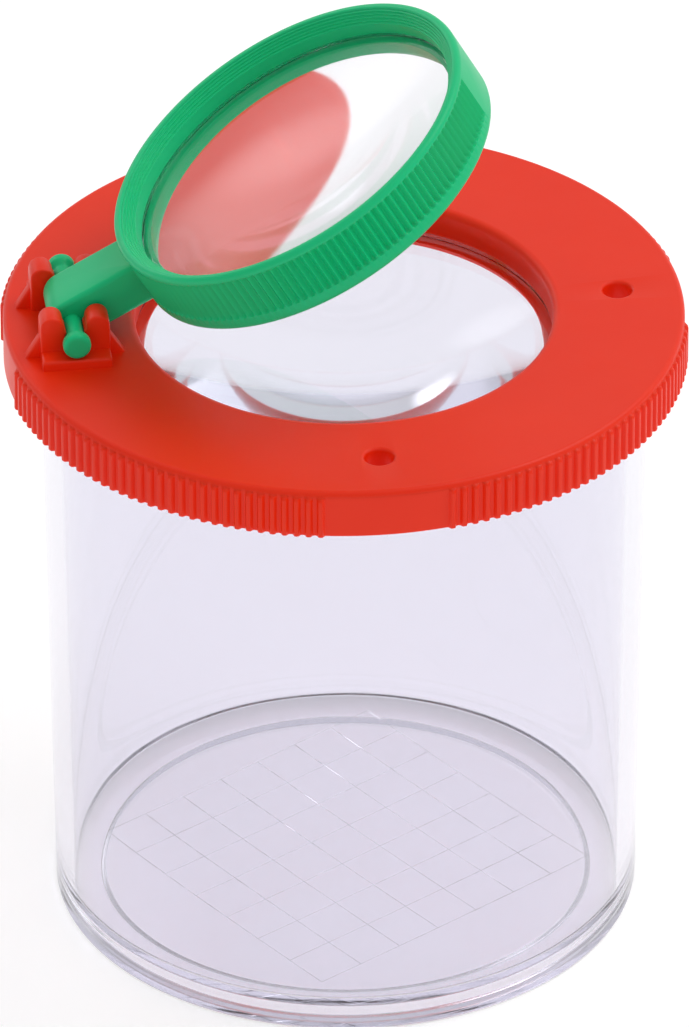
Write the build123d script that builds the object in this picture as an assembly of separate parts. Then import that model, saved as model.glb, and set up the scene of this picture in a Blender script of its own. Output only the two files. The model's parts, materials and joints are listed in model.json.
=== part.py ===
from build123d import *
from math import radians, sqrt
import os

# Bug catcher jar: a clear cup with a push-on lid that has a lens in its window, and a second,
# ribbed magnifier that swings up on a pin snapped into two forks on the lid.
# Millimetres and degrees. +Z is up, the origin is the centre of the underside of the jar's foot,
# and the magnifier's hinge is on the -X side with its pin along Y.

# Jar
jar_height = 65.0        # foot to rim
foot_radius = 29.7       # outside of the wall at the foot
neck_radius = 30.5       # outside of the wall under the collar; the difference is the mould's draft
jar_wall = 1.9
jar_floor = 1.9
foot_rise = 1.1          # hollow under the floor
foot_width = 4.9         # ring that the jar stands on
foot_edge = 0.4          # rounding
floor_corner = 1.5       # rounding inside, between floor and wall
collar_height = 2.6
collar_width = 1.5
rim_edge = 0.5           # rounding

# Lid
lid_clearance = 0.2      # jar collar to lid skirt, all round
skirt_overhang = 0.15    # skirt below the collar
skirt_wall = 1.9         # under the grip ribs
lid_top_wall = 2.3
lid_edge = 0.5           # rounding
grip_rib_height = 0.4
grip_rib_pitch = 2.0     # degrees
grip_pad_angle = 20.0    # each of the four plain pads between the ribs
grip_margin = 0.55       # ribs' upper ends below the top
groove_mouth = 0.72      # share of the pitch, at the crests
groove_root = 0.24       # share of the pitch, at the bottom
window_inset = 7.7       # jar mouth to window
window_edge = 0.7        # rounding
vent_diameter = 2.9

# Lens in the lid
lid_lens_depth = 3.15    # below the top of the lid
lid_lens_flange = 1.45   # thickness
lid_lens_curve = 63.0    # underside; the top is flat
lens_clearance = 0.1     # lens edge to its socket, all round
lens_snap = 0.3          # lip that holds a lens by its edge
lens_end_play = 0.05
socket_wall = 1.4
lens_ledge = 1.3         # width of the ledge that a lens rests on
lid_ledge_height = 0.8

# Hinge
hinge_inset = 6.9        # outside of the lid to the pin
rim_clearance = 1.0      # ring to lid when the magnifier is swung right over
pin_diameter = 1.9
pin_clearance = 0.08     # pin to its seat, all round
pin_snap = 0.2           # pin over the throat that it snaps through
pin_lead_in = 0.35       # slot above the throat over the pin
pin_head_diameter = 2.8
pin_head_length = 1.8
pin_head_edge = 0.3      # bevel
arm_width = 6.2
arm_thickness = 4.6
arm_edge = 0.5           # rounding
arm_clearance = 0.2      # underside of the magnifier to the lid when shut
side_play = 0.3          # arm to fork
fork_thickness = 2.6
fork_reach = 2.3         # pin to the tips of the prongs
prong_width = 2.35
gusset_foot = 1.5
gusset_height = 2.4
gusset_thickness = 1.2
sill_overlap = 0.5       # sill under a pin head, into its fork
open_angle = 29.4        # magnifier from its shut position

# Magnifier
ring_wall = 1.5          # round the lens's groove
ring_edge = 0.5          # rounding of the outer edges
ring_plain_band = 1.4    # below the ribs
ring_rib_margin = 0.2    # plain stretch between the ribs' upper ends and the rounded edge
ring_rib_height = 0.35
ring_ribs = 140          # in a full turn
ring_pad_angle = 28.0    # plain pads at the arm and opposite
ring_seat_height = 2.8   # ledge under the lens
ring_lip_height = 1.4    # plain band over the lens
bore_steps = 5           # fine steps from that band up to the rim
bore_step_height = 0.25
bore_step_width = 0.2
magnifier_lens_edge = 1.5
magnifier_lens_curve = 82.0  # top; the underside is flat

# Fits worked out from the sizes above
collar_radius = neck_radius + collar_width
collar_z = jar_height - collar_height
mouth_radius = neck_radius - jar_wall
floor_z = foot_rise + jar_floor
skirt_radius = collar_radius + lid_clearance
lid_radius = skirt_radius + skirt_wall + grip_rib_height
skirt_z = collar_z - skirt_overhang
lid_top_z = jar_height + lid_top_wall
window_radius = mouth_radius - window_inset
lid_lens_radius = window_radius + lens_snap
lid_lens_top = lid_top_z - lid_lens_depth
lid_lens_rim = lid_lens_top - lid_lens_flange
lid_ledge_radius = lid_lens_radius + lens_clearance - lens_ledge
hinge_x = lid_radius - hinge_inset
hinge_z = lid_top_z + arm_thickness / 2 + arm_clearance
ring_radius = hinge_x - hinge_inset - rim_clearance
ring_bottom = -arm_thickness / 2
groove_radius = ring_radius - ring_wall
magnifier_lens_radius = groove_radius - lens_clearance
magnifier_lens_bottom = ring_bottom + ring_seat_height
magnifier_lens_top = magnifier_lens_bottom + magnifier_lens_edge
ring_lip_bottom = magnifier_lens_top + lens_end_play
ring_lip_top = ring_lip_bottom + ring_lip_height
ring_top = ring_lip_top + bore_steps * bore_step_height
fork_inner = arm_width / 2 + side_play
fork_outer = fork_inner + fork_thickness
fork_slot = pin_diameter + pin_lead_in
throat_width = pin_diameter - pin_snap
pin_length = 2 * (fork_outer + side_play / 2 + pin_head_length)


def turned(corners):
    """Solid of revolution about Z from corners (radius, height, rounding)."""
    points = [(radius, height) for radius, height, rounding in corners]
    roundings = [rounding for radius, height, rounding in corners]
    outline = FilletPolyline(*points, radius=roundings, close=True)
    return revolve(Plane.XZ * make_face(outline), Axis.Z)


def grip_grooves(radius, depth, pitch, angles, bottom, top):
    """Tapered grooves to cut between grip ribs, upright, at the given angles round Z."""
    pitch_length = radius * radians(pitch)
    half_root = groove_root * pitch_length / 2
    half_outer = groove_mouth * pitch_length - half_root
    return bars(radius - depth, half_root, radius + depth, half_outer, angles, bottom, top)


def grip_ribs(radius, height, pitch, angles, bottom, top):
    """Tapered grip ribs to stand on a wall, upright, at the given angles round Z."""
    pitch_length = radius * radians(pitch)
    half_crest = (1 - groove_mouth) * pitch_length / 2
    half_sunk = (1 - groove_root) * pitch_length - half_crest
    return bars(radius - 2 * height, half_sunk, radius, half_crest, angles, bottom, top)


def bars(inner, half_inner, outer, half_outer, angles, bottom, top):
    """Upright bars from one radius and half width to another, at the given angles round Z."""
    outline = Polyline(
        (inner, -half_inner), (outer, -half_outer), (outer, half_outer), (inner, half_inner), close=True
    )
    bar = make_face(outline)
    return extrude(Pos(Z=bottom) * (Sketch() + [Rot(Z=angle) * bar for angle in angles]), top - bottom)


def lens(edge_radius, flat, rim, crown_radius, curve):
    """Lens about Z with one flat face and a crown inside the rim of the other, above or below it."""
    side = 1 if rim > flat else -1
    tip = rim + side * (curve - sqrt(curve**2 - crown_radius**2))
    outline = [
        Polyline((0, flat), (edge_radius, flat), (edge_radius, rim), (crown_radius, rim)),
        RadiusArc((crown_radius, rim), (0, tip), -side * curve),
        Line((0, tip), (0, flat)),
    ]
    return revolve(Plane.XZ * make_face(Curve() + outline), Axis.Z)


def make_jar():
    """Cup with a drafted wall, a hollow under its floor and a collar for the lid."""
    draft = (neck_radius - foot_radius) / collar_z
    floor_radius = foot_radius + draft * floor_z - jar_wall
    hollow_radius = foot_radius - foot_width
    return turned([
        (0, foot_rise, 0),
        (hollow_radius, foot_rise, 0),
        (hollow_radius, 0, foot_edge),
        (foot_radius, 0, foot_edge),
        (neck_radius, collar_z, 0),
        (collar_radius, collar_z, 0),
        (collar_radius, jar_height, rim_edge),
        (mouth_radius, jar_height, rim_edge),
        (floor_radius, floor_z, floor_corner),
        (0, floor_z, 0),
    ])


def make_fork(face_y):
    """Snap-in fork on the lid: two prongs and gussets, from face_y towards -Y."""
    plane = Plane((-hinge_x, face_y, hinge_z), x_dir=(1, 0, 0), z_dir=(0, -1, 0))
    sunk = lid_top_z - lid_top_wall / 2 - hinge_z
    half_width = fork_slot / 2 + prong_width
    prong_top = fork_reach - prong_width / 2
    blank = Rectangle(2 * half_width, -sunk, align=(Align.CENTER, Align.MAX))
    for side in (-1, 1):
        prong_x = side * (fork_slot + prong_width) / 2
        blank += Pos(prong_x, 0) * Rectangle(prong_width, prong_top, align=(Align.CENTER, Align.MIN))
        blank += Pos(prong_x, prong_top) * Circle(prong_width / 2)
    seat_radius = pin_diameter / 2 + pin_clearance
    throat_z = sqrt(seat_radius**2 - (throat_width / 2) ** 2)
    lead_in_z = throat_z + (fork_slot - throat_width) / 2
    throat = Polyline(
        (-throat_width / 2, 0),
        (throat_width / 2, 0),
        (throat_width / 2, throat_z),
        (fork_slot / 2, lead_in_z),
        (fork_slot / 2, fork_reach),
        (-fork_slot / 2, fork_reach),
        (-fork_slot / 2, lead_in_z),
        (-throat_width / 2, throat_z),
        close=True,
    )
    profile = blank - Circle(seat_radius) - make_face(throat)
    fork = extrude(plane * profile, fork_thickness)
    foot_z = lid_top_z - hinge_z
    for side in (-1, 1):
        gusset = Polyline(
            (side * (half_width - prong_width / 2), sunk),
            (side * (half_width + gusset_foot), sunk),
            (side * (half_width + gusset_foot), foot_z),
            (side * half_width, foot_z + gusset_height),
            (side * (half_width - prong_width / 2), foot_z + gusset_height),
            close=True,
        )
        gusset_plane = plane.offset((fork_thickness - gusset_thickness) / 2)
        fork += extrude(gusset_plane * make_face(gusset), gusset_thickness)
    return fork


def make_lid():
    """Cap with a window, a lens socket under it, a ribbed grip, air holes and the hinge forks."""
    socket_radius = lid_lens_radius + lens_clearance
    socket_outer = socket_radius + socket_wall
    groove_top = lid_lens_top + lens_end_play
    ledge_bottom = lid_lens_rim - lid_ledge_height
    wall_radius = skirt_radius + skirt_wall
    lid = turned([
        (socket_radius, groove_top, 0),
        (window_radius, groove_top, 0),
        (window_radius, lid_top_z, window_edge),
        (wall_radius, lid_top_z, lid_edge),
        (wall_radius, skirt_z, 0),
        (skirt_radius, skirt_z, 0),
        (skirt_radius, jar_height, 0),
        (socket_outer, jar_height, 0),
        (socket_outer, ledge_bottom, 0),
        (lid_ledge_radius, ledge_bottom, 0),
        (lid_ledge_radius, lid_lens_rim, 0),
        (socket_radius, lid_lens_rim, 0),
    ])
    ribs_per_side = round((90 - grip_pad_angle) / grip_rib_pitch)
    first_rib = (90 - (ribs_per_side - 1) * grip_rib_pitch) / 2
    angles = [
        quarter * 90 + first_rib + index * grip_rib_pitch
        for quarter in range(4)
        for index in range(ribs_per_side)
    ]
    ribs_top = lid_top_z - grip_margin
    lid += grip_ribs(lid_radius, grip_rib_height, grip_rib_pitch, angles, skirt_z, ribs_top)
    vent = Pos(hinge_x, 0, jar_height) * Cylinder(
        vent_diameter / 2, lid_top_wall, align=(Align.CENTER, Align.CENTER, Align.MIN)
    )
    for angle in (-90, 0, 90):
        lid -= Rot(Z=angle) * vent
    sill_inner = fork_outer - sill_overlap
    sill_top = hinge_z - pin_head_diameter / 2 - pin_clearance
    sill_bottom = lid_top_z - lid_top_wall / 2
    sill = Box(fork_slot + 2 * prong_width, pin_length / 2 - sill_inner, sill_top - sill_bottom)
    for side, face_y in ((-1, -fork_inner), (1, fork_outer)):
        lid += make_fork(face_y)
        sill_y = side * (sill_inner + pin_length / 2) / 2
        lid += Pos(-hinge_x, sill_y, (sill_bottom + sill_top) / 2) * sill
    return lid


def make_lid_lens():
    """Lens in the lid, flat side up in the groove of its socket."""
    return lens(
        edge_radius=lid_lens_radius,
        flat=lid_lens_top,
        rim=lid_lens_rim,
        crown_radius=lid_ledge_radius - lens_clearance,
        curve=lid_lens_curve,
    )


def hinged(piece):
    """Swing a piece, made round the ring's axis at the height of the pin, up about the pin."""
    pin = Pos(-hinge_x, 0, hinge_z)
    return pin * Rot(Y=-open_angle) * Pos(X=hinge_x) * piece


def make_magnifier_frame():
    """Ring with a stepped bore and a lens groove, ribbed outside, with its arm and cross pin."""
    lip_radius = magnifier_lens_radius - lens_snap
    bore = []
    for step in range(bore_steps):
        tread = ring_lip_top + step * bore_step_height
        bore.append((lip_radius + step * bore_step_width, tread, 0))
        bore.append((lip_radius + (step + 1) * bore_step_width, tread, 0))
    bore_mouth = lip_radius + bore_steps * bore_step_width
    ring = turned([
        (groove_radius, ring_lip_bottom, 0),
        (lip_radius, ring_lip_bottom, 0),
        *bore,
        (bore_mouth, ring_top, 0),
        (ring_radius, ring_top, ring_edge),
        (ring_radius, ring_bottom, ring_edge),
        (groove_radius - lens_ledge, ring_bottom, 0),
        (groove_radius - lens_ledge, magnifier_lens_bottom, 0),
        (groove_radius, magnifier_lens_bottom, 0),
    ])
    pitch = 360 / ring_ribs
    ribs_per_side = round((180 - ring_pad_angle) / pitch)
    first_groove = (180 - (ribs_per_side - 1) * pitch) / 2
    angles = [
        half * 180 + first_groove + index * pitch for half in range(2) for index in range(ribs_per_side)
    ]
    grooves_bottom = ring_bottom + ring_plain_band
    grooves_top = ring_top - ring_edge - ring_rib_margin
    ring -= grip_grooves(ring_radius, ring_rib_height, pitch, angles, grooves_bottom, grooves_top)
    arm_root = ring_radius - ring_wall / 2
    arm_plane = Plane((-hinge_x, arm_width / 2, 0), x_dir=(1, 0, 0), z_dir=(0, -1, 0))
    arm_outline = Circle(arm_thickness / 2) + Rectangle(
        hinge_x - arm_root, arm_thickness, align=(Align.MIN, Align.CENTER)
    )
    arm = extrude(arm_plane * arm_outline, arm_width)
    outer_edges = arm.edges().filter_by(Axis.Y, reverse=True).sort_by(Axis.X)[:-2]
    arm = fillet(outer_edges, arm_edge)
    head_start = pin_length / 2 - pin_head_length
    half_pin = Polyline(
        (0, 0),
        (pin_diameter / 2, 0),
        (pin_diameter / 2, head_start),
        (pin_head_diameter / 2, pin_length / 2 - pin_head_length / 2),
        (pin_head_diameter / 2, pin_length / 2 - pin_head_edge),
        (pin_head_diameter / 2 - pin_head_edge, pin_length / 2),
        (0, pin_length / 2),
        close=True,
    )
    pin_half = revolve(make_face(half_pin), Axis.Y)
    pin = Pos(X=-hinge_x) * (pin_half + mirror(pin_half, Plane.XZ))
    return hinged(ring + arm + pin)


def make_magnifier_lens():
    """Lens in the ring, flat side down on the ledge of its groove."""
    return hinged(lens(
        edge_radius=magnifier_lens_radius,
        flat=magnifier_lens_bottom,
        rim=magnifier_lens_top,
        crown_radius=magnifier_lens_radius - 2 * lens_snap,
        curve=magnifier_lens_curve,
    ))


pieces = {
    "jar": make_jar(),
    "lid": make_lid(),
    "lid_lens": make_lid_lens(),
    "magnifier_frame": make_magnifier_frame(),
    "magnifier_lens": make_magnifier_lens(),
}

os.makedirs("parts", exist_ok=True)
for name, piece in pieces.items():
    piece.label = name
    export_step(piece, f"parts/{name}.step")
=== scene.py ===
import json
import math

import bmesh
import bpy
from mathutils import Matrix, Vector


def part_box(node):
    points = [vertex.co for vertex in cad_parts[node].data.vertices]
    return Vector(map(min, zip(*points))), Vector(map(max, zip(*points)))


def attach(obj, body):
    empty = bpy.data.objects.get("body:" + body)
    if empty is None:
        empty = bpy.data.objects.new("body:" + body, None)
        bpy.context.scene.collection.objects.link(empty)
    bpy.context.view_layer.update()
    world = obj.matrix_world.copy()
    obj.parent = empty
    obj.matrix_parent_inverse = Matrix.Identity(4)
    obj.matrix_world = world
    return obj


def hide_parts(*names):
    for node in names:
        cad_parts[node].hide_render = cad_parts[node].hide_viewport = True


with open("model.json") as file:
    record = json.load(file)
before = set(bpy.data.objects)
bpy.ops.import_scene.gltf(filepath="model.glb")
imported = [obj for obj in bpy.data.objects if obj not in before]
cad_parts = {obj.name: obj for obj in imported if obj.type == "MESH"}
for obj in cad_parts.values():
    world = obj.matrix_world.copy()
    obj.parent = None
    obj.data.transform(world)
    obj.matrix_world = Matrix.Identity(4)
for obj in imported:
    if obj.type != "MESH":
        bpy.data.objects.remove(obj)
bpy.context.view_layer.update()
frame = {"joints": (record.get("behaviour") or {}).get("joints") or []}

# Jar
# A clear cup, injection moulded in one shot of general-purpose polystyrene. The wall flares a
# little to draw out of the mould, the collar takes the lid, and the floor has a grid of
# measuring squares moulded into its upper face.
MM = 0.001
jar_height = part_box("jar")[1].z / MM
collar_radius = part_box("jar")[1].x / MM
collar_height = 2.6
collar_z = jar_height - collar_height
collar_width = 1.5
neck_radius = collar_radius - collar_width
foot_radius = 29.7
jar_wall = 1.9
mouth_radius = neck_radius - jar_wall
foot_rise = 1.1
foot_width = 4.9
floor_z = 3.0
hollow_corner = 0.3
foot_edge = 0.4
collar_corner = 0.3
collar_edge = 0.2
mouth_edge = 0.5
floor_corner = 0.5
jar_segments = 256
guards_a_rounding = 5
grid_square = 5.0
grid_count = 7
grid_turn = 32.4
grid_line_width = 0.05
grid_line_depth = 0.04


def rounded(corners, steps=5):
    """Profile points from corners (across, up, rounding).
    A rounding is an arc with a guard point at each end, which keeps the shading of its neighbours flat."""
    points = []
    for index, (across, up, rounding) in enumerate(corners):
        corner = Vector((across, up))
        if not rounding:
            points.append(corner)
            continue
        behind = (Vector(corners[index - 1][:2]) - corner).normalized()
        ahead = (Vector(corners[(index + 1) % len(corners)][:2]) - corner).normalized()
        half = ahead.angle(behind) / 2
        centre = corner + (ahead + behind).normalized() * rounding / math.sin(half)
        start = corner + behind * rounding / math.tan(half) - centre
        end = corner + ahead * rounding / math.tan(half) - centre
        guard = rounding / guards_a_rounding
        points.append(centre + start + behind * guard)
        points += [centre + start.slerp(end, step / steps) * rounding for step in range(steps + 1)]
        points.append(centre + end + ahead * guard)
    return points


def solid(name, vertices, faces):
    """Object in metres with a closed mesh from vertices in millimetres, its faces turned outwards."""
    mesh = bpy.data.meshes.new(name)
    mesh.from_pydata([Vector(vertex) * MM for vertex in vertices], [], faces)
    shape = bmesh.new()
    shape.from_mesh(mesh)
    bmesh.ops.recalc_face_normals(shape, faces=shape.faces)
    shape.to_mesh(mesh)
    shape.free()
    made = bpy.data.objects.new(name, mesh)
    bpy.context.scene.collection.objects.link(made)
    return made


def turned(name, profile, segments, relief=None):
    """Solid of a profile (radius, height) turned about Z, either a loop or with both ends on the axis.
    relief says how far in a point is pressed, by its angle in degrees, radius and height."""
    vertices, faces, rings = [], [], []
    for radius, height in profile:
        ring = []
        for turn in range(segments if radius else 1):
            angle = 360 * turn / segments
            reach = radius - relief(angle, radius, height) if relief else radius
            ring.append(len(vertices))
            vertices.append((
                reach * math.cos(math.radians(angle)),
                reach * math.sin(math.radians(angle)),
                height,
            ))
        rings.append(ring)
    if profile[0][0]:
        rings.append(rings[0])
    for lower, upper in zip(rings, rings[1:]):
        for turn in range(segments):
            corners = [lower[turn % len(lower)], lower[(turn + 1) % len(lower)]]
            corners += [upper[(turn + 1) % len(upper)], upper[turn % len(upper)]]
            faces.append(list(dict.fromkeys(corners)))
    return solid(name, vertices, faces)


def extruded(name, outline, start, end, place=Matrix()):
    """Solid of an outline (across, up) in the XZ plane, drawn along Y from start to end and then placed."""
    count = len(outline)
    vertices = [place @ Vector((across, y, up)) for y in (start, end) for across, up in outline]
    sides = [[i, (i + 1) % count, count + (i + 1) % count, count + i] for i in range(count)]
    return solid(name, vertices, sides + [list(range(count)), list(range(count, 2 * count))])


def settled(made):
    """Apply an object's modifiers to its mesh."""
    shape = bpy.data.meshes.new_from_object(made.evaluated_get(bpy.context.evaluated_depsgraph_get()))
    made.modifiers.clear()
    made.data = shape


def combined(made, other, operation):
    """Join another solid to this one or cut it away, and use it up."""
    step = made.modifiers.new(operation, "BOOLEAN")
    step.operation = operation
    step.solver = "MANIFOLD"
    step.object = other
    settled(made)
    bpy.data.objects.remove(other)


def dressed(made, material, sharp_angle=40):
    """Give a finished solid its material and smooth shading, with edges sharper than an angle kept."""
    made.data.materials.clear()
    made.data.materials.append(material)
    made.data.shade_smooth()
    made.data.set_sharp_from_angle(angle=math.radians(sharp_angle))


def linear(code):
    """Linear colour from an sRGB hex code."""
    shares = [int(code[i:i + 2], 16) / 255 for i in (1, 3, 5)]
    return [s / 12.92 if s <= 0.04045 else ((s + 0.055) / 1.055) ** 2.4 for s in shares] + [1.0]


def add_node(tree, kind, settings={}, links={}):
    """Node of a kind, with values for its inputs or properties, and links to its inputs from outputs."""
    node = tree.nodes.new("ShaderNode" + kind)
    for name, value in settings.items():
        if isinstance(name, int) or name in node.inputs:
            node.inputs[name].default_value = value
        else:
            setattr(node, name, value)
    for name, output in links.items():
        tree.links.new(output, node.inputs[name])
    return node


wipe_size = 6.0


def clear_plastic(name, ior, tint, density, ripple, ripple_height, polish, haze):
    """Clear moulded plastic: a gloss skin with a faint ripple and wipe marks over a lightly tinted body.
    ripple and ripple_height are in millimetres, and polish and haze are the least and most roughness."""
    material = bpy.data.materials.new(name)
    material.use_nodes = True
    tree = material.node_tree
    tree.nodes.clear()
    place = add_node(tree, "TexCoord").outputs["Object"]
    waves = add_node(tree, "TexNoise", {"Scale": 1 / (ripple * MM), "Detail": 1.0}, {"Vector": place})
    skin = add_node(
        tree, "Bump", {"Strength": 0.3, "Distance": ripple_height * MM}, {"Height": waves.outputs["Fac"]}
    )
    wipes = add_node(
        tree,
        "TexNoise",
        {"Scale": 1 / (wipe_size * MM), "Detail": 4.0, "Distortion": 1.5},
        {"Vector": place},
    )
    gloss = add_node(
        tree,
        "MapRange",
        {"From Min": 0.4, "From Max": 0.8, "To Min": polish, "To Max": haze},
        {"Value": wipes.outputs["Fac"]},
    )
    surface = add_node(
        tree,
        "BsdfPrincipled",
        {"Base Color": linear(tint), "Transmission Weight": 1.0, "IOR": ior},
        {"Roughness": gloss.outputs["Result"], "Normal": skin.outputs["Normal"]},
    )
    body = add_node(tree, "VolumeAbsorption", {"Color": linear(tint), "Density": density})
    add_node(tree, "OutputMaterial", {}, {"Surface": surface.outputs[0], "Volume": body.outputs[0]})
    return material


draft = (neck_radius - foot_radius) / collar_z
jar = turned(
    "clear_jar",
    rounded([
        (0, foot_rise, 0),
        (foot_radius - foot_width, foot_rise, hollow_corner),
        (foot_radius - foot_width, 0, foot_edge),
        (foot_radius, 0, foot_edge),
        (neck_radius, collar_z, collar_corner),
        (collar_radius, collar_z, collar_edge),
        (collar_radius, jar_height, mouth_edge),
        (mouth_radius, jar_height, mouth_edge),
        (foot_radius + draft * floor_z - jar_wall, floor_z, floor_corner),
        (0, floor_z, 0),
    ]),
    jar_segments,
)
groove = [(-grid_line_width, grid_line_depth), (grid_line_width, grid_line_depth), (0, -grid_line_depth)]
grid_half = grid_square * grid_count / 2
for across in (0, 90):
    for line in range(grid_count + 1):
        place = (
            Matrix.Translation((0, 0, floor_z))
            @ Matrix.Rotation(math.radians(grid_turn + across), 4, "Z")
            @ Matrix.Translation((line * grid_square - grid_half, 0, 0))
        )
        combined(jar, extruded("grid_line", groove, -grid_half, grid_half, place), "DIFFERENCE")

# Polystyrene from a polished mould is as clear as glass, with sharp reflections and a bluish
# violet toner that shows where the wall is seen edge on.
polystyrene = clear_plastic(
    "clear_moulded_polystyrene",
    ior=1.59,
    tint="#f1f0f7",
    density=40.0,
    ripple=9.0,
    ripple_height=0.02,
    polish=0.0,
    haze=0.05,
)
dressed(jar, polystyrene)
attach(jar, "jar")
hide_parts("jar")

# Lid
# A push-on cap moulded in polypropylene, with fine grip ribs in four runs round its skirt, a window
# with a snap socket for its lens, three air holes, and two snap-in forks for the magnifier's pin.
hinge = next(joint for joint in frame["joints"] if joint["name"] == "magnifier_hinge")
pin_x = -hinge["pos_m"][0] / MM
pin_z = hinge["pos_m"][2] / MM
lid_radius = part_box("lid")[1].x / MM
pin_rise = 2.5
lid_top = pin_z - pin_rise
ledge_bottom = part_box("lid")[0].z / MM
skirt_drop = 0.15
skirt_z = collar_z - skirt_drop
skirt_gap = 0.2
skirt_radius = collar_radius + skirt_gap
window_lens_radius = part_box("lid_lens")[1].x / MM
window_lens_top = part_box("lid_lens")[1].z / MM
window_lens_edge = 1.45
window_lens_rim = window_lens_top - window_lens_edge
window_lip = 0.3
window_radius = window_lens_radius - window_lip
socket_gap = 0.1
socket_radius = window_lens_radius + socket_gap
socket_wall = 1.4
socket_outer = socket_radius + socket_wall
ledge_width = 1.3
ledge_radius = socket_radius - ledge_width
lens_play = 0.05
lens_air = 0.04
window_edge = 0.7
lip_edge = 0.1
lid_edge = 0.5
skirt_edge = 0.15
inside_edge = 0.2
lid_rounding_steps = 4
lid_skin = 0.3
lid_rib_height = 0.4
lid_rib_foot = 0.38
lid_rib_crest = 0.12
lid_rib_margin = 0.55
lid_rib_pitch = 2.0
lid_ribs_a_run = 35
lid_run = 90.0
rib_steps = 6
rib_run_out = 0.5
run_out_steps = 4
vent_angles = (-90, 0, 90)
vent_radius = 1.45
vent_flare = 0.35
vent_flare_steps = 4
vent_segments = 48
cut_margin = 1.0
pin_radius = 0.95
pin_head_radius = 1.4
pin_gap = 0.08
pin_seat_radius = pin_radius + pin_gap
arm_width = 6.2
arm_gap = 0.3
fork_inner = arm_width / 2 + arm_gap
fork_thickness = 2.6
fork_outer = fork_inner + fork_thickness
pin_head_gap = 0.15
pin_head_start = fork_outer + pin_head_gap
pin_head_length = 1.8
pin_half_length = pin_head_start + pin_head_length
sill_overlap = 0.5
fork_slot = 1.125
throat = 0.85
prong_width = 2.35
fork_reach = 2.3
fork_sunk = -3.65
gusset_foot = 1.5
gusset_height = 2.4
gusset_thickness = 1.2
prong_steps = 16
seat_steps = 24
fork_edge = 0.25
gusset_edge = 0.15
soft_edge_steps = 3
soft_edge_angle = 35
flow_size = 14.0
handling_size = 3.0
# The mould's real grain is finer than the render can show, so it is drawn this coarse.
grain_size = 0.18
grain_height = 0.02
milky_depth = 0.6


def grip_share(angle, pitch, count, run, foot, crest):
    """Share of a grip rib's or groove's full size at an angle, from 0 beside it to 1 along its middle.
    foot and crest are its half widths at bottom and top, as shares of the pitch."""
    place = (angle % run - run / 2) / pitch + (count - 1) / 2
    off = abs(place - min(max(round(place), 0), count - 1))
    share = min(max((foot - off) / (foot - crest), 0), 1)
    return share * share * (3 - 2 * share)


def run_out(height, bottom, top):
    """Share of that size at a height. A rib or groove ends in a quarter round at its bottom and top."""
    inside = min(height - bottom, top - height, rib_run_out) / rib_run_out
    return math.sqrt(max(0, 1 - (1 - inside) ** 2)) if inside > 0 else 0


def arc(centre, radius, start, end, steps):
    """Points of an arc, by its angles in degrees."""
    turns = [math.radians(start + (end - start) * step / steps) for step in range(steps + 1)]
    return [(centre[0] + radius * math.cos(turn), centre[1] + radius * math.sin(turn)) for turn in turns]


def softened(made, rounding):
    """Round a solid's sharp edges."""
    step = made.modifiers.new("soft_edges", "BEVEL")
    step.width = rounding * MM
    step.segments = soft_edge_steps
    step.limit_method = "ANGLE"
    step.angle_limit = math.radians(soft_edge_angle)
    settled(made)


def satin_plastic(name, colour, deep_colour, glow):
    """Coloured polypropylene from a finely eroded mould: a broad satin highlight over a milky colour.
    glow is how far red, green and blue light travel under the skin, as shares of the milky depth."""
    material = bpy.data.materials.new(name)
    material.use_nodes = True
    tree = material.node_tree
    tree.nodes.clear()
    place = add_node(tree, "TexCoord").outputs["Object"]
    flow = add_node(tree, "TexNoise", {"Scale": 1 / (flow_size * MM), "Detail": 2.0}, {"Vector": place})
    pigment = add_node(
        tree,
        "Mix",
        {"data_type": "RGBA", 6: linear(deep_colour), 7: linear(colour)},
        {0: flow.outputs["Fac"]},
    )
    handling = add_node(
        tree, "TexNoise", {"Scale": 1 / (handling_size * MM), "Detail": 3.0}, {"Vector": place}
    )
    satin = add_node(tree, "MapRange", {"To Min": 0.3, "To Max": 0.46}, {"Value": handling.outputs["Fac"]})
    grain = add_node(tree, "TexNoise", {"Scale": 1 / (grain_size * MM), "Detail": 2.0}, {"Vector": place})
    skin = add_node(
        tree, "Bump", {"Strength": 0.25, "Distance": grain_height * MM}, {"Height": grain.outputs["Fac"]}
    )
    surface = add_node(
        tree,
        "BsdfPrincipled",
        {
            "IOR": 1.49,
            "Specular IOR Level": 0.28,
            "Subsurface Weight": 0.15,
            "Subsurface Radius": glow,
            "Subsurface Scale": milky_depth * MM,
        },
        {
            "Base Color": pigment.outputs[2],
            "Roughness": satin.outputs["Result"],
            "Normal": skin.outputs["Normal"],
        },
    )
    add_node(tree, "OutputMaterial", {}, {"Surface": surface.outputs[0]})
    return material


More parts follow.
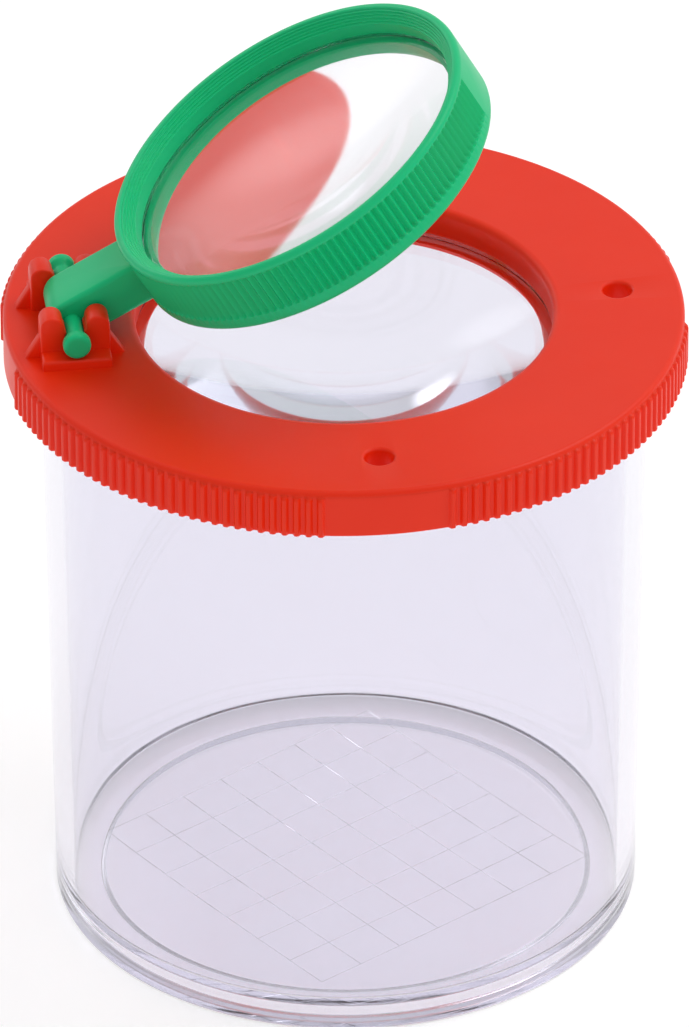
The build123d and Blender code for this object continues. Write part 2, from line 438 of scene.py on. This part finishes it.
lid_ribs_top = lid_top - lid_rib_margin
lid_wall = [
    (lid_radius, lid_ribs_top - rib_run_out * step / run_out_steps, 0) for step in range(run_out_steps + 1)
]
lid = turned(
    "ribbed_lid",
    rounded(
        [
            (socket_radius, window_lens_top + lens_play, 0),
            (window_radius, window_lens_top + lens_play, lip_edge),
            (window_radius, lid_top, window_edge),
            (lid_radius, lid_top, lid_edge),
            *lid_wall,
            (lid_radius, skirt_z, skirt_edge),
            (skirt_radius, skirt_z, skirt_edge),
            (skirt_radius, jar_height, inside_edge),
            (socket_outer, jar_height, inside_edge),
            (socket_outer, ledge_bottom, inside_edge),
            (ledge_radius, ledge_bottom, lip_edge),
            (ledge_radius, window_lens_rim - lens_air, lip_edge),
            (socket_radius, window_lens_rim - lens_air, 0),
        ],
        steps=lid_rounding_steps,
    ),
    round(360 / lid_rib_pitch) * rib_steps,
    lambda angle, radius, height: -lid_rib_height
    * (radius > lid_radius - lid_skin)
    * grip_share(angle, lid_rib_pitch, lid_ribs_a_run, lid_run, lid_rib_foot, lid_rib_crest)
    * run_out(height, skirt_z - rib_run_out, lid_ribs_top),
)

for angle in vent_angles:
    vent = turned(
        "air_hole",
        [
            (0, jar_height - cut_margin),
            (vent_radius, jar_height - cut_margin),
            *[
                (vent_radius + vent_flare - across, lid_top - vent_flare + up)
                for across, up in arc((0, 0), vent_flare, 0, 90, vent_flare_steps)
            ],
            (vent_radius + vent_flare, lid_top + cut_margin),
            (0, lid_top + cut_margin),
        ],
        vent_segments,
    )
    vent.data.transform(
        Matrix.Rotation(math.radians(angle), 4, "Z") @ Matrix.Translation((pin_x * MM, 0, 0))
    )
    combined(lid, vent, "DIFFERENCE")

half_width = fork_slot + prong_width
prong_top = fork_reach - prong_width / 2
throat_z = math.sqrt(pin_seat_radius**2 - throat**2)
throat_angle = math.degrees(math.acos(throat / pin_seat_radius))
lead_in_z = throat_z + fork_slot - throat
fork_outline = [
    (-half_width, fork_sunk),
    (half_width, fork_sunk),
    *arc((fork_slot + prong_width / 2, prong_top), prong_width / 2, 0, 180, prong_steps),
    (fork_slot, lead_in_z),
    *arc((0, 0), pin_seat_radius, throat_angle, -180 - throat_angle, seat_steps),
    (-fork_slot, lead_in_z),
    *arc((-fork_slot - prong_width / 2, prong_top), prong_width / 2, 0, 180, prong_steps),
]
gusset_inner = half_width - prong_width / 2
gusset_outline = [
    (gusset_inner, fork_sunk),
    (half_width + gusset_foot, fork_sunk),
    (half_width + gusset_foot, lid_top - pin_z),
    (half_width, lid_top - pin_z + gusset_height),
    (gusset_inner, lid_top - pin_z + gusset_height),
]
sill_top = -pin_head_radius - pin_gap
sill_outline = [
    (-half_width, fork_sunk),
    (half_width, fork_sunk),
    (half_width, sill_top),
    (-half_width, sill_top),
]
pin_place = Matrix.Translation((-pin_x, 0, pin_z))
for side in (-1, 1):
    for outline, near, far in (
        (fork_outline, fork_inner, fork_outer),
        (sill_outline, fork_outer - sill_overlap, pin_half_length),
    ):
        start, end = sorted((side * near, side * far))
        block = extruded("fork", outline, start, end, pin_place)
        softened(block, fork_edge)
        combined(lid, block, "UNION")
    middle = side * (fork_inner + fork_outer) / 2
    for end in (-1, 1):
        outline = [(end * across, up) for across, up in gusset_outline]
        start = middle - gusset_thickness / 2
        gusset = extruded("gusset", outline, start, start + gusset_thickness, pin_place)
        softened(gusset, gusset_edge)
        combined(lid, gusset, "UNION")

# Polypropylene is faintly milky, so the red deepens in the grooves and its highlights stay wide.
red_polypropylene = satin_plastic(
    "satin_moulded_red_polypropylene", colour="#fb3206", deep_colour="#f22a04", glow=(1.0, 0.25, 0.15)
)
dressed(lid, red_polypropylene)
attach(lid, "lid")
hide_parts("lid")

# Window lens
# A plano-convex moulded acrylic lens, flat side up, pressed past the window's edge until its
# flange snaps into the groove of its socket.
window_lens_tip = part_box("lid_lens")[0].z / MM
flange_edge = 0.12
crown_gap = 0.1
crown_steps = 40
lens_segments = 256
lens_sharp_angle = 5


def lens(name, radius, flat, rim, crown_radius, tip):
    """Lens turned about Z with one flat face, a flange to its rim, and a crown from the rim to its tip."""
    sag = tip - rim
    curve = (crown_radius**2 + sag**2) / (2 * sag)
    flange = rounded([
        (0, flat, 0),
        (radius, flat, flange_edge),
        (radius, rim, flange_edge),
        (crown_radius, rim, 0),
    ])
    crown = []
    for step in range(crown_steps + 1):
        across = crown_radius * (1 - step / crown_steps)
        crown.append((across, tip - curve + math.copysign(math.sqrt(curve**2 - across**2), sag)))
    return turned(name, flange[:-1] + crown, lens_segments)


window_lens = lens(
    "window_lens",
    window_lens_radius,
    window_lens_top,
    window_lens_rim,
    ledge_radius - crown_gap,
    window_lens_tip,
)

# Acrylic with an optical polish is almost colourless, so it shows as what it bends and mirrors.
lens_acrylic = clear_plastic(
    "clear_polished_acrylic",
    ior=1.49,
    tint="#f9f9fc",
    density=90.0,
    ripple=12.0,
    ripple_height=0.001,
    polish=0.025,
    haze=0.05,
)
dressed(window_lens, lens_acrylic, lens_sharp_angle)
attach(window_lens, "lid")
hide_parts("lid_lens")

# Magnifier frame
# One moulding in polypropylene: a deep ring with fine grip ribs outside and fine steps inside, a stub
# arm, and a cross pin with flared ends that snaps down into the lid's forks.
ring_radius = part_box("magnifier_frame")[1].y / MM
ring_wall = 1.5
ring_bottom = -2.3
ring_top = 4.7
ring_edge = 0.5
ring_rib_depth = 0.5
ring_rib_foot = 0.5
ring_rib_crest = 0.06
ring_rib_margin = 0.2
ring_ribs = 140
ring_ribs_a_run = 59
ring_run = 180.0
ring_plain_band = 1.4
swing_lens_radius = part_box("magnifier_lens")[1].y / MM
swing_lens_bottom = 0.5
swing_lens_top = 2.0
groove_radius = ring_radius - ring_wall
seat_radius = groove_radius - ledge_width
ring_lip = 0.3
lip_radius = swing_lens_radius - ring_lip
lip_bottom = swing_lens_top + lens_play
lip_top = 3.45
bore_steps = 5
bore_step_height = 0.25
bore_step_width = 0.2
bore_step_edge = 0.06
bore_edge = 0.2
ring_rounding_steps = 3
ring_skin = 0.1
arm_thickness = 4.6
arm_edge = 0.5
arm_steps = 32
pin_flare_length = 0.9
pin_flare_steps = 8
pin_end_edge = 0.45
pin_segments = 48

ring_ribs_bottom = ring_bottom + ring_plain_band
ring_ribs_top = ring_top - ring_edge - ring_rib_margin
ring_wall_points = [
    (ring_radius, ring_ribs_top - rib_run_out * step / run_out_steps, 0) for step in range(run_out_steps + 1)
]
ring_wall_points += [
    (ring_radius, ring_ribs_bottom + rib_run_out * (1 - step / run_out_steps), 0)
    for step in range(run_out_steps + 1)
]
bore = []
for step in range(bore_steps):
    tread = lip_top + step * bore_step_height
    bore.append((lip_radius + step * bore_step_width, tread, bore_step_edge))
    bore.append((lip_radius + (step + 1) * bore_step_width, tread, bore_step_edge))
bore_mouth = lip_radius + bore_steps * bore_step_width
ring = turned(
    "magnifier_ring",
    rounded(
        [
            (groove_radius, lip_bottom, 0),
            (lip_radius, lip_bottom, lip_edge),
            *bore,
            (bore_mouth, ring_top, bore_edge),
            (ring_radius, ring_top, ring_edge),
            *ring_wall_points,
            (ring_radius, ring_bottom, ring_edge),
            (seat_radius, ring_bottom, bore_edge),
            (seat_radius, swing_lens_bottom - lens_air, lip_edge),
            (groove_radius, swing_lens_bottom - lens_air, 0),
        ],
        steps=ring_rounding_steps,
    ),
    ring_ribs * rib_steps,
    lambda angle, radius, height: ring_rib_depth
    * (radius > ring_radius - ring_skin)
    * grip_share(angle, 360 / ring_ribs, ring_ribs_a_run, ring_run, ring_rib_foot, ring_rib_crest)
    * run_out(height, ring_ribs_bottom, ring_ribs_top),
)
arm_outline = [
    (ring_wall / 2 - ring_radius, -arm_thickness / 2),
    (ring_wall / 2 - ring_radius, arm_thickness / 2),
    *arc((-pin_x, 0), arm_thickness / 2, 90, 270, arm_steps),
]
arm = extruded("arm", arm_outline, -arm_width / 2, arm_width / 2)
softened(arm, arm_edge)
combined(ring, arm, "UNION")
pin_flare = []
for step in range(pin_flare_steps + 1):
    along = step / pin_flare_steps
    swell = (1 - math.cos(math.pi * along)) / 2
    pin_flare.append((
        pin_radius + (pin_head_radius - pin_radius) * swell,
        pin_head_start + pin_flare_length * along,
    ))
pin_end = rounded([
    (pin_head_radius, pin_head_start + pin_flare_length, 0),
    (pin_head_radius, pin_half_length, pin_end_edge),
    (0, pin_half_length, 0),
])
half_pin = pin_flare + [tuple(point) for point in pin_end[1:]]
other_half = [(radius, -height) for radius, height in half_pin[::-1]]
pin = turned("pin", other_half + half_pin, pin_segments)
pin.data.transform(Matrix.Translation((-pin_x * MM, 0, 0)) @ Matrix.Rotation(math.radians(90), 4, "X"))
combined(ring, pin, "UNION")

# At rest the magnifier is swung up from its shut place, which is the hinge's low limit.
swung_up = (
    Matrix.Translation(hinge["pos_m"])
    @ Matrix.Rotation(-math.radians(hinge["range_deg"][0]), 4, Vector(hinge["axis"]))
    @ Matrix.Translation((pin_x * MM, 0, 0))
)
ring.data.transform(swung_up)

# The same polypropylene in green, whose colour deepens between the ribs.
green_polypropylene = satin_plastic(
    "satin_moulded_green_polypropylene", colour="#14d08a", deep_colour="#0ec27c", glow=(0.2, 1.0, 0.4)
)
dressed(ring, green_polypropylene)
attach(ring, "magnifier")
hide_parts("magnifier_frame")

# Magnifier lens
# A plano-convex lens moulded in the same acrylic as the window's, flat side down, pressed past the lip
# inside the ring to rest on the ledge of its groove.
swing_lens_curve = 82.0
swing_flange = 0.6
swing_crown = swing_lens_radius - swing_flange
swing_lens_tip = swing_lens_top + swing_lens_curve - math.sqrt(swing_lens_curve**2 - swing_crown**2)
swing_lens = lens(
    "swing_lens", swing_lens_radius, swing_lens_bottom, swing_lens_top, swing_crown, swing_lens_tip
)
swing_lens.data.transform(swung_up)
dressed(swing_lens, lens_acrylic, lens_sharp_angle)
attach(swing_lens, "magnifier")
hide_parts("magnifier_lens")

# Studio
# A white card floor that glows by itself round the jar, a painted pool of light, inside a white light tent
# that is brightest at the upper right and has a small bright panel behind. One large soft light stands at
# the upper right.
floor_size = 4000.0
floor_gap = 0.02
# The card's own glow is painted light, strongest round the jar and fading further out.
card_glow = 0.58
far_card_glow = 0.36
card_glow_start = 140.0
card_glow_end = 400.0
tent_bright_side = Vector((0.5, 0.5, 0.7))
tent_dim = 0.42
tent_bright = 0.98
panel_side = Vector((-0.5, 0.78, 0.38))
panel_edge = 0.965
panel_strength = 1.7
softbox_size = 0.6
softbox_watts = 2.9
softbox_place = (0.6, 0.1, 0.9)
softbox_aim = Vector((0, 0, 0.05))
clear_bounces = 24
floor = solid(
    "white_floor",
    [(x * floor_size, y * floor_size, -floor_gap) for x, y in ((-1, -1), (1, -1), (1, 1), (-1, 1))],
    [[0, 1, 2, 3]],
)

# Matt card with a glow of its own, strongest round the jar: a painted pool of light that fills the jar's
# shadow, so the jar throws hardly any shadow on it.
card = bpy.data.materials.new("white_card_with_painted_glow")
card.use_nodes = True
card_surface = card.node_tree.nodes["Principled BSDF"]
card_surface.inputs["Base Color"].default_value = linear("#c4c4c4")
card_surface.inputs["Roughness"].default_value = 0.9
card_surface.inputs["Specular IOR Level"].default_value = 0.2
card_surface.inputs["Emission Color"].default_value = linear("#ffffff")
card_reach = add_node(
    card.node_tree,
    "VectorMath",
    {"operation": "LENGTH"},
    {0: add_node(card.node_tree, "TexCoord").outputs["Object"]},
)
# Painted light: the card's emission falls from its value round the jar to a lower one further out.
card_light = add_node(
    card.node_tree,
    "MapRange",
    {
        "interpolation_type": "SMOOTHSTEP",
        "From Min": card_glow_start * MM,
        "From Max": card_glow_end * MM,
        "To Min": card_glow,
        "To Max": far_card_glow,
    },
    {"Value": card_reach.outputs["Value"]},
)
card.node_tree.links.new(card_light.outputs["Result"], card_surface.inputs["Emission Strength"])
floor.data.materials.append(card)

tent = bpy.data.worlds.new("white_tent")
bpy.context.scene.world = tent
tent.use_nodes = True
tent_tree = tent.node_tree
tent_tree.nodes.clear()
tent_place = add_node(tent_tree, "TexCoord").outputs["Generated"]
tent_side = add_node(
    tent_tree,
    "VectorMath",
    {"operation": "DOT_PRODUCT", 1: tent_bright_side.normalized()},
    {0: tent_place},
)
tent_wall = add_node(
    tent_tree,
    "MapRange",
    {"From Min": -1.0, "From Max": 1.0, "To Min": tent_dim, "To Max": tent_bright},
    {"Value": tent_side.outputs["Value"]},
)
panel_place = add_node(
    tent_tree,
    "VectorMath",
    {"operation": "DOT_PRODUCT", 1: panel_side.normalized()},
    {0: tent_place},
)
tent_panel = add_node(
    tent_tree,
    "MapRange",
    {
        "interpolation_type": "SMOOTHSTEP",
        "From Min": panel_edge,
        "From Max": 1.0,
        "To Min": 0.0,
        "To Max": panel_strength,
    },
    {"Value": panel_place.outputs["Value"]},
)
tent_strength = add_node(
    tent_tree,
    "Math",
    {"operation": "ADD"},
    {0: tent_wall.outputs["Result"], 1: tent_panel.outputs["Result"]},
)
tent_light = add_node(tent_tree, "Background", {}, {"Strength": tent_strength.outputs["Value"]})
add_node(tent_tree, "OutputWorld", {}, {"Surface": tent_light.outputs[0]})

softbox = bpy.data.objects.new("softbox", bpy.data.lights.new("softbox", "AREA"))
softbox.data.size = softbox_size
softbox.data.energy = softbox_watts
softbox.location = softbox_place
softbox.rotation_euler = (softbox_aim - softbox.location).to_track_quat("-Z", "Y").to_euler()
softbox.visible_camera = False
bpy.context.scene.collection.objects.link(softbox)

# The photograph's place, seen through a long lens.
camera_turn = -7.1
camera_rise = 33.358
camera_roll = -0.172
camera_distance = 1380.0
camera_target = Vector((0, 0, 32.775))
frame_lift = 8.425
frame_height_px = 1027
focal_px = 13616
camera = bpy.data.objects.new("camera", bpy.data.cameras.new("camera"))
back = Vector((
    math.sin(math.radians(camera_turn)) * math.cos(math.radians(camera_rise)),
    -math.cos(math.radians(camera_turn)) * math.cos(math.radians(camera_rise)),
    math.sin(math.radians(camera_rise)),
))
camera_up = (-back).to_track_quat("-Z", "Y") @ Vector((0, 1, 0))
camera.location = (camera_target + back * camera_distance) * MM
aim = (camera_target + camera_up * frame_lift) * MM - camera.location
camera.rotation_mode = "QUATERNION"
camera.rotation_quaternion = aim.to_track_quat("-Z", "Y") @ Matrix.Rotation(
    math.radians(camera_roll), 3, "Z"
).to_quaternion()
camera.data.sensor_width = 36.0
camera.data.lens = focal_px / frame_height_px * camera.data.sensor_width
camera.data.clip_end = 20.0
bpy.context.scene.collection.objects.link(camera)
bpy.context.scene.camera = camera

# Standard tone keeps the white ground white and the plastics as saturated as they are.
bpy.context.scene.view_settings.view_transform = "Standard"

# Light bounces many times inside clear plastic before it gets out.
bpy.context.scene.cycles.max_bounces = clear_bounces
bpy.context.scene.cycles.transmission_bounces = clear_bounces
bpy.context.scene.cycles.glossy_bounces = clear_bounces
bpy.context.scene.cycles.blur_glossy = 0.0
